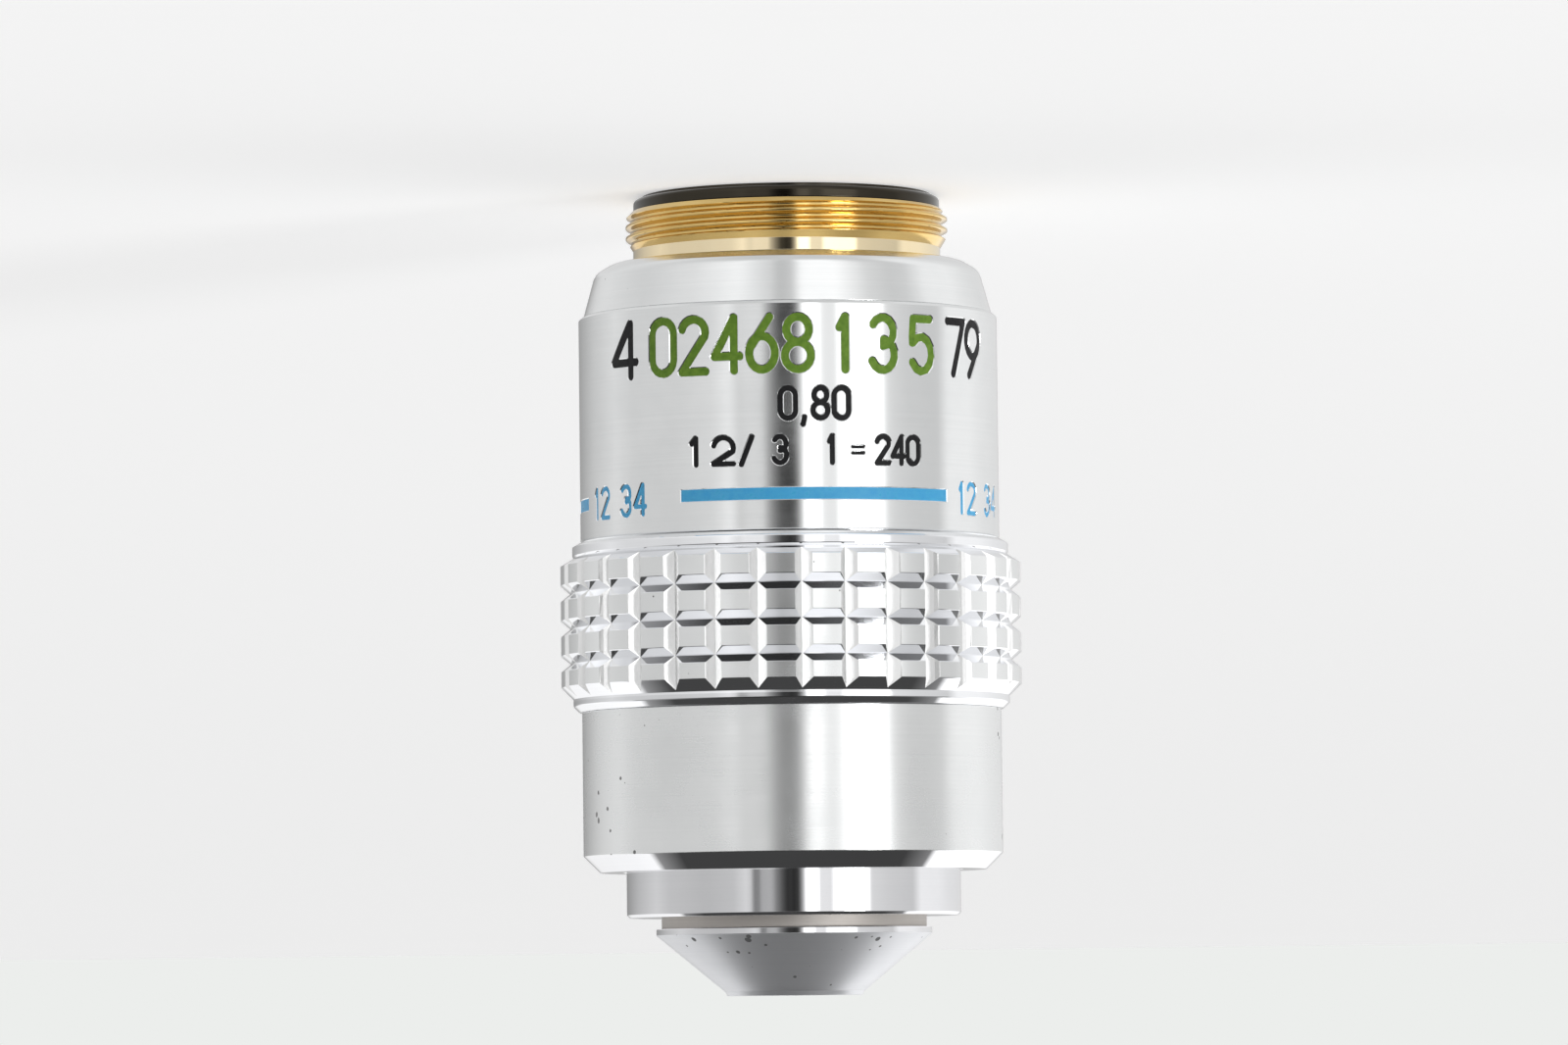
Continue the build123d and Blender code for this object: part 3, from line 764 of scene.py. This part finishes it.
# Lines of markings: height of the characters' feet, size of the characters, stroke width
LARGE = (7.62, 3.24, 0.60)
MIDDLE = (10.62, 1.86, 0.44)
SMALL = (13.35, 1.62, 0.42)
SMALL_THIN = (13.35, 1.62, 0.30)
BAR_LINE = (16.20, 1.80, 0.38)
NARROW = {"1": 0.30, "/": 0.42, ",": 0.16, "=": 0.42, " ": 0.30}
GREEN, BLACK, BLUE = range(3)
MARKINGS = [
    ("4", -55.2, -44.8, LARGE, {"4": 0.66}, BLACK),
    ("02468", -39.6, 6.2, LARGE, {}, GREEN),
    ("135", 13.4, 42.4, LARGE, {"1": 0.30}, GREEN),
    ("79", 49.0, 64.6, LARGE, {}, BLACK),
    ("0,80", -2.2, 16.4, MIDDLE, NARROW, BLACK),
    ("12", -27.8, -15.2, SMALL, {"1": 0.5, "2": 0.8}, BLACK),
    ("/", -13.0, -8.4, SMALL, NARROW, BLACK),
    ("3", -4.2, -0.4, SMALL, {}, BLACK),
    ("1", 10.6, 13.6, SMALL, NARROW, BLACK),
    ("=", 17.4, 20.0, SMALL_THIN, NARROW, BLACK),
    ("240", 24.4, 37.4, SMALL, {}, BLACK),
]
# The blue bars and the numbers between them repeat round the sleeve
SHIFTS = (0, 120, 240)
MARKINGS += [("12 34", shift - 66.8, shift - 42.8, BAR_LINE, NARROW, BLUE) for shift in SHIFTS]
strokes = [stroke for marking in MARKINGS for stroke in line_of_text(*marking)]
BARS = [(-30.8 + shift, 47.9 + shift) for shift in SHIFTS]
BAR_LOW, BAR_HIGH = 14.80, 15.64

FILL_DEPTH = 0.05
WALL_WIDTH = 0.055
FILL_EDGE = -WALL_WIDTH * 0.98
TOUCHED = 0.004
FAR = 9.0
REACH = 0.6
CONTOUR_CELL = 0.06
CROSSING_MARGIN = 0.02
JOIN_DISTANCE = 0.0005
GROUP_WIDTH = 1.2
GROUP_HEIGHT = 1.0
SLEEVE_COLUMNS = 240


def reach(group):
    """Corners of the box round a group's strokes, within which its distance matters."""
    every = np.concatenate([line for line, _, _ in group])
    return every.min(0) - REACH, every.max(0) + REACH


def stroke_distance(points, group):
    """Signed distance from points to the edge of the nearest stroke of a group."""
    best = np.full(len(points), FAR)
    for line, half, _ in group:
        a, b = line[:-1], line[1:]
        d = b - a
        length = np.maximum((d * d).sum(1), 1e-12)
        t = ((points[:, None, :] - a[None]) * d[None]).sum(2) / length[None]
        t = np.clip(t, 0, 1)
        near = a[None] + t[:, :, None] * d[None]
        gap = np.sqrt(((points[:, None, :] - near) ** 2).sum(2)).min(1) - half
        best = np.minimum(best, gap)
    return best


def contour(group, level):
    """Vertices and edges where the distance to the strokes equals a level."""
    low, high = reach(group)
    nx, ny = np.ceil((high - low) / CONTOUR_CELL).astype(int) + 1
    xs = low[0] + np.arange(nx) * CONTOUR_CELL
    ys = low[1] + np.arange(ny) * CONTOUR_CELL
    grid = np.stack(np.meshgrid(xs, ys, indexing="ij"), 2).reshape(-1, 2)
    field = stroke_distance(grid, group).reshape(nx, ny) - level
    verts, index, edges = [], {}, []

    def crossing(first, second):
        key = (first, second)
        if key not in index:
            a, b = field[first], field[second]
            t = min(max(a / (a - b), CROSSING_MARGIN), 1 - CROSSING_MARGIN)
            (i, j), (k, l) = first, second
            index[key] = len(verts)
            verts.append((xs[i] + (xs[k] - xs[i]) * t, ys[j] + (ys[l] - ys[j]) * t))
        return index[key]

    inside = field < 0
    here = inside[:-1, :-1]
    mixed = (here != inside[1:, :-1]) | (here != inside[:-1, 1:]) | (here != inside[1:, 1:])
    for i, j in np.argwhere(mixed):
        corners = [(i, j), (i + 1, j), (i + 1, j + 1), (i, j + 1)]
        sides = [(0, 1), (1, 2), (3, 2), (0, 3)]
        cuts = [
            crossing(corners[a], corners[b])
            for a, b in sides
            if inside[corners[a]] != inside[corners[b]]
        ]
        edges += [(cuts[k], cuts[k + 1]) for k in range(0, len(cuts) - 1, 2)]
    return verts, edges


def split_groups():
    """Strokes grouped by character place, so that distances are found locally."""
    groups = []
    for stroke in strokes:
        s, z = stroke[0].mean(0)
        for group, s_first, z_first in groups:
            near = abs(s_first - s) < GROUP_WIDTH and abs(z_first - z) < GROUP_HEIGHT
            if near and group[0][2] == stroke[2]:
                group.append(stroke)
                break
        else:
            groups.append(([stroke], s, z))
    return [group for group, _, _ in groups]


def bar_boxes():
    """Arc lengths of each bar's ends, with its middle within half a turn."""
    boxes = []
    for first, last in BARS:
        shift = 360 if (first + last) / 2 > 180 else 0
        boxes.append(((first - shift) * ARC, (last - shift) * ARC))
    return boxes


def unrolled_outline(groups, boxes):
    """Vertices and edges that the unrolled sleeve's triangles must keep."""
    verts, edges = [], []

    def add(points, links):
        base = len(verts)
        verts.extend(points)
        edges.extend((base + a, base + b) for a, b in links)

    columns = [-HALF_TURN + 2 * HALF_TURN * k / SLEEVE_COLUMNS for k in range(SLEEVE_COLUMNS + 1)]
    for s in columns:
        add([(s, SLEEVE_START), (s, SLEEVE_EDGE)], [(0, 1)])
    for z in (SLEEVE_START, SLEEVE_EDGE):
        add([(s, z) for s in columns], [(k, k + 1) for k in range(SLEEVE_COLUMNS)])
    for group in groups:
        for level in (0.0, -WALL_WIDTH):
            add(*contour(group, level))
    for first, last in boxes:
        for inset in (0.0, WALL_WIDTH):
            a, b = first + inset, last - inset
            c, d = BAR_LOW + inset, BAR_HIGH - inset
            for wrap in WRAPS:
                left, right = max(a + wrap, -HALF_TURN), min(b + wrap, HALF_TURN)
                if left < right:
                    corners = [(left, c), (right, c), (right, d), (left, d)]
                    add(corners, [(0, 1), (1, 2), (2, 3), (3, 0)])
    return verts, edges


def measure(points, groups, boxes):
    """Distance to the nearest engraving, and its ink, for each point."""
    gap = np.full(len(points), FAR)
    ink = np.zeros(len(points), int)
    for group in groups:
        low, high = reach(group)
        near = np.where(((points > low) & (points < high)).all(1))[0]
        if len(near) == 0:
            continue
        d = stroke_distance(points[near], group)
        better = d < gap[near]
        gap[near[better]] = d[better]
        ink[near[better]] = group[0][2]
    for first, last in boxes:
        for wrap in WRAPS:
            ds = np.maximum(first + wrap - points[:, 0], points[:, 0] - last - wrap)
            dz = np.maximum(BAR_LOW - points[:, 1], points[:, 1] - BAR_HIGH)
            d = np.maximum(ds, dz)
            better = d < gap
            gap[better] = d[better]
            ink[better] = BLUE
    return gap, ink


def make_engraved():
    """The engraved cylinder: vertices, triangles, distance and ink of each triangle's middle,
    and each vertex's polar angle."""
    groups, boxes = split_groups(), bar_boxes()
    verts, edges = unrolled_outline(groups, boxes)
    result = geometry.delaunay_2d_cdt([Vector(v) for v in verts], edges, [], 0, JOIN_DISTANCE)
    points = np.array([(v.x, v.y) for v in result[0]])
    gap, _ = measure(points, groups, boxes)
    sunk = np.clip(-gap / WALL_WIDTH, 0, 1) * FILL_DEPTH
    sunk[sunk < TOUCHED] = 0
    radius = BODY_RADIUS - sunk
    angle = -math.pi / 2 - points[:, 0] / BODY_RADIUS
    cylinder = np.stack([radius * np.cos(angle), radius * np.sin(angle), points[:, 1]], 1)
    triangles = [tuple(reversed(face)) for face in result[2]]
    centres = np.array([points[list(face)].mean(0) for face in triangles])
    gap, ink = measure(centres, groups, boxes)
    return cylinder, triangles, gap, ink, angle


def make_sleeve():
    """The sleeve: its engraved outside, then the rest of its turned section."""
    cylinder, triangles, gaps, inks, angle = make_engraved()
    verts = [tuple(v) for v in cylinder]
    faces, loop_normals, material_index = [], [], []
    for face, gap, ink in zip(triangles, gaps, inks):
        p = [Vector(verts[i]) for i in face]
        face_normal = (p[1] - p[0]).cross(p[2] - p[0])
        radial = Vector((p[0].x + p[1].x + p[2].x, p[0].y + p[1].y + p[2].y, 0))
        if face_normal.dot(radial) < 0:
            face = tuple(reversed(face))
            face_normal.negate()
        faces.append(face)
        if FILL_EDGE < gap < -0.001 and face_normal.length > 1e-9:
            loop_normals += [tuple(face_normal.normalized())] * 3
        else:
            loop_normals += [polar(1.0, angle[i], 0.0) for i in face]
        material_index.append(1 + int(ink) if gap <= FILL_EDGE else 0)
    section = eased(
        [
            (BORE_RADIUS + 0.05, BAND_FRONT, FINE),
            (BODY_RADIUS - 0.20, BAND_FRONT, EDGE),
            (BODY_RADIUS, SLEEVE_START, 0.0),
            (BODY_RADIUS, SLEEVE_EDGE, 0.0),
            (BODY_RADIUS - 0.08, SLEEVE_END, 0.02),
            (BORE_RADIUS, SLEEVE_END, FINE),
        ]
    )
    base = len(verts)
    m = len(section)
    turns = [-math.pi / 2 + 2 * math.pi * k / SLEEVE_COLUMNS for k in range(SLEEVE_COLUMNS)]
    verts += [polar(r, a, z) for a in turns for r, z, _, _ in section]
    outside = BODY_RADIUS - 1e-6
    for k in range(SLEEVE_COLUMNS):
        q = (k + 1) % SLEEVE_COLUMNS
        for j in range(m):
            w = (j + 1) % m
            across = abs(section[j][0] - section[w][0])
            along = abs(section[j][1] - section[w][1])
            engraved = min(section[j][0], section[w][0]) > outside and along > 1
            if engraved or across + along < 1e-7:
                continue
            corners = ((k, j), (q, j), (q, w), (k, w))
            faces.append(tuple(base + column * m + place for column, place in corners))
            material_index.append(0)
            for column, place in corners:
                _, _, nr, nz = section[place]
                loop_normals.append(polar(nr, turns[column], nz))
    obj = new_object("sleeve", verts, faces, loop_normals=loop_normals)
    for look in ("chrome", "paint_green", "paint_black", "paint_blue"):
        obj.data.materials.append(looks[look])
    obj.data.polygons.foreach_set("material_index", material_index)
    obj.data.update()
    return obj


sleeve = make_sleeve()

# Each new piece, the body that it rides on, the node that it stands for and its slot
PIECES = [
    (threaded_mount, "casing", None, "brass"),
    (mount_body, "casing", "mount_barrel", "brass"),
    (rear_ring, "casing", "rear_stop_ring", "black_ring"),
    (band, "casing", "shoulder_ring", "chrome"),
    (sleeve, "casing", "engraved_sleeve", "engraved_chrome"),
    (grip, "casing", "grip_ring", "chrome"),
    (lower, "casing", "lower_sleeve", "satin_chrome"),
    (slide, "nose", "nose_sleeve", "chrome"),
    (cone, "nose", "nose_cone", "satin_chrome"),
]
for piece, body, node, slot in PIECES:
    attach(piece, body)
    if node:
        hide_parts(node)

NODE_LOOKS = {
    "lens_barrel": "brass_bright",
    "guide_screw": "steel",
    "spring_washer": "steel",
    "return_spring": "steel_bright",
    "front_lens_mount": "steel_bright",
    "lens_lock_ring": "cell_black",
}
KIND_LOOKS = {
    "_cell": "cell_black",
    "_spacer": "cell_black",
    "_flint": "flint_glass",
    "_crown": "crown_glass",
    "_lens": "crown_glass",
}
for name, node in nodes.items():
    if name in NODE_LOOKS:
        finish_with(node, NODE_LOOKS[name])
    for ending, look in KIND_LOOKS.items():
        if name.endswith(ending):
            finish_with(node, look)

# The real return spring shortens against its washer as the nose slides in; here it is a copy of the node's
# mesh, riding on the casing in the node's place.
spring = add_to_scene("spring", nodes["return_spring"].data.copy())
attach(spring, "casing")
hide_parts("return_spring")
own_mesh(spring)

# Floor: plain and pale, standing under the thread end. Metal and glass see through it to the
# surroundings, and only the camera sees the light that it gives off.
FLOOR_REACH = 6000
FLOOR_GLOW = 0.50


def make_floor():
    corners = [(-1, -1), (1, -1), (1, 1), (-1, 1)]
    verts = [(x * FLOOR_REACH, y * FLOOR_REACH, REAR_END) for x, y in corners]
    floor = new_object("floor", verts, [(0, 1, 2, 3)])
    looks["floor_pale"], n = new_material("floor_pale")
    path = n.add("LightPath")
    pale = n.add("BsdfDiffuse", {"Color": colour(238, 238, 238)})
    glow = n.math("MULTIPLY", path.outputs["Is Camera Ray"], FLOOR_GLOW)
    pale = n.add("AddShader", {0: pale, 1: n.add("Emission", {0: (1, 1, 1, 1), 1: glow})})
    clear = n.add("BsdfTransparent")
    seen = n.math("MAXIMUM", path.outputs["Is Glossy Ray"], path.outputs["Is Transmission Ray"])
    n.add("OutputMaterial", {0: n.add("MixShader", {0: seen, 1: pale, 2: clear})})
    finish_with(floor, "floor_pale")
    return floor


make_floor()

# Soft studio surroundings: light and shade by direction. Each list holds directions round the
# object, in degrees from the camera's and positive towards the image's right, with their
# brightness: level with the horizon, the share of it that is left close to the horizon, a
# little higher, overhead, and below.
BANDS = [
    (-180, 0.52), (-168, 0.36), (-150, 0.50), (-135, 0.66), (-110, 0.86), (-96, 0.76), (-66, 0.76),
    (-42, 0.84), (-33, 1.04), (-30, 0.92), (-27, 0.84), (-24, 0.92), (-14, 0.90), (-12, 0.55),
    (-8, 0.22), (-4.5, 0.06), (0, 0.03), (3, 0.05), (5, 0.22), (7, 0.75), (9, 1.9), (16, 1.9),
    (18, 0.96), (26, 0.92), (28.5, 1.7), (52, 1.7), (55, 0.82), (68, 0.74), (90, 0.68), (98, 1.02),
    (118, 1.0), (135, 0.9), (165, 0.78), (180, 0.52),
]
NEAR_DIM = [
    (-180, 0.85), (-100, 0.85), (-60, 0.74), (-31, 0.76), (-29, 0.7), (-27.5, 0.3), (-24, 0.3), (-22, 0.5),
    (-16, 0.55), (-14, 0.45), (-5, 0.5), (-2, 1.0),
]
UPPER = [
    (-180, 0.6), (-165, 1.0), (-125, 1.2), (-100, 0.8), (-40, 0.8), (0, 0.85), (10, 1.25), (48, 1.25),
    (70, 0.75), (100, 0.8), (125, 1.5), (165, 1.3), (180, 0.6),
]
SHADE = [
    (-180, 0.35), (-98, 0.42), (-60, 0.16), (-40, 0.04), (0, 0.03), (20, 0.10), (65, 0.2), (100, 0.3),
    (180, 0.35),
]
UNDER = [
    (-180, 0.7), (-133, 0.85), (-98, 0.75), (-60, 0.88), (-45, 1.0), (-31, 1.1), (-17, 0.9), (-10, 0.78),
    (-5, 0.6), (3, 0.68), (9, 1.2), (30, 1.2), (44, 0.95), (52, 0.8), (67, 0.7), (78, 0.74),
    (93, 1.0), (115, 1.0), (130, 0.9), (180, 0.7),
]
BOTTOM_GREY = 0.7
TOP_GREY = 0.06
# Where one zone gives way to the next, as the sine of its elevation. Behind the object the
# shade overhead starts higher, by the lean.
DIM_START = (-0.052, -0.034)
DIM_END = (0.02, 0.0)
TO_UPPER = (0.06, 0.14)
TO_SHADE = (0.22, 0.30)
TO_TOP = (0.72, 0.84)
TO_UNDER = (-0.13, -0.24)
TO_BOTTOM = (-0.80, -0.95)
BACK_LEAN = 1.1


def make_world():
    world = bpy.data.worlds.new("studio")
    bpy.context.scene.world = world
    world.use_nodes = True
    n = Nodes(world.node_tree)
    direction = n.add("TexCoord").outputs["Generated"]
    dx, dy, dz = n.add("SeparateXYZ", {0: direction}).outputs
    turn = n.math("ARCTAN2", n.math("MULTIPLY", dx, -1), n.math("MULTIPLY", dy, -1))
    around = n.math("MULTIPLY_ADD", turn, 0.5 / math.pi, 0.5)

    def by_turn(stops):
        return n.ramp(around, [((degrees + 180) / 360, value) for degrees, value in stops])

    # A ramp holds 32 stops at most, so the bands take one for each half
    right_half = by_turn([stop for stop in BANDS if stop[0] >= 0])
    left_half = by_turn([stop for stop in BANDS if stop[0] <= 0])
    bands = n.mix(n.math("GREATER_THAN", around, 0.5), left_half, right_half)
    dim = n.math("MULTIPLY", n.span(dz, *DIM_START), n.span(dz, *DIM_END))
    dimmed = n.mix(dim, grey(1), by_turn(NEAR_DIM))
    bands = n.add("VectorMath", {0: bands, 1: dimmed}, operation="MULTIPLY").outputs[0]
    level = n.mix(n.span(dz, *TO_UPPER), bands, by_turn(UPPER))
    below = n.mix(n.span(dz, *TO_BOTTOM), by_turn(UNDER), grey(BOTTOM_GREY))
    light = n.mix(n.span(dz, *TO_UNDER), level, below)
    behind = n.math("MULTIPLY", n.math("MAXIMUM", dy, 0.0), BACK_LEAN)
    steep = n.math("SUBTRACT", dz, behind)
    above = n.mix(n.span(dz, *TO_TOP), by_turn(SHADE), grey(TOP_GREY))
    light = n.mix(n.span(steep, *TO_SHADE), light, above)
    path = n.add("LightPath")
    seen_light = n.mix(path.outputs["Is Camera Ray"], light, colour(236, 238, 236))
    n.add("OutputWorld", {0: n.add("Background", {0: seen_light, 1: 1.0})})


make_world()

# One large soft lamp from the image's right gives the shadow its direction
LAMP_SIZE_M = 0.30
LAMP_WATTS = 3.0
LAMP_PLACE_M = (-0.75, -0.80, 0.35)
LAMP_AIM_M = (0, 0, 0.02)
lamp_data = bpy.data.lights.new("soft_key", "AREA")
lamp_data.shape = "RECTANGLE"
lamp_data.size = LAMP_SIZE_M
lamp_data.size_y = LAMP_SIZE_M
lamp_data.energy = LAMP_WATTS
lamp = add_to_scene("soft_key", lamp_data)
lamp.location = LAMP_PLACE_M
lamp.rotation_mode = "QUATERNION"
lamp.rotation_quaternion = (Vector(LAMP_AIM_M) - lamp.location).to_track_quat("-Z", "Y")

# Camera: the photograph's viewpoint, a little above, with the thread end at the top
FOCAL_PX = 8584
WIDTH_PX = 1600
SENSOR_WIDTH = 36
CAMERA_PLACE = (0.36, -527.6, 47.32)
TILT = math.radians(3.37)
ROLL = math.radians(-0.646)


def make_camera():
    ahead = Vector((0, math.cos(TILT), -math.sin(TILT)))
    level_up = Vector((0, -math.sin(TILT), -math.cos(TILT)))
    level_right = Vector((-1, 0, 0))
    right = level_right * math.cos(ROLL) + level_up * math.sin(ROLL)
    up = level_up * math.cos(ROLL) - level_right * math.sin(ROLL)
    data = bpy.data.cameras.new("camera")
    data.sensor_fit = "HORIZONTAL"
    data.sensor_width = SENSOR_WIDTH
    data.lens = SENSOR_WIDTH * FOCAL_PX / WIDTH_PX
    data.clip_start = 0.05
    data.clip_end = 50
    camera = add_to_scene("camera", data)
    turned = Matrix((right, up, -ahead)).transposed().to_4x4()
    turned.translation = Vector(CAMERA_PLACE) * MM
    camera.matrix_world = turned
    bpy.context.scene.camera = camera


make_camera()
bpy.context.scene.view_settings.view_transform = "Standard"
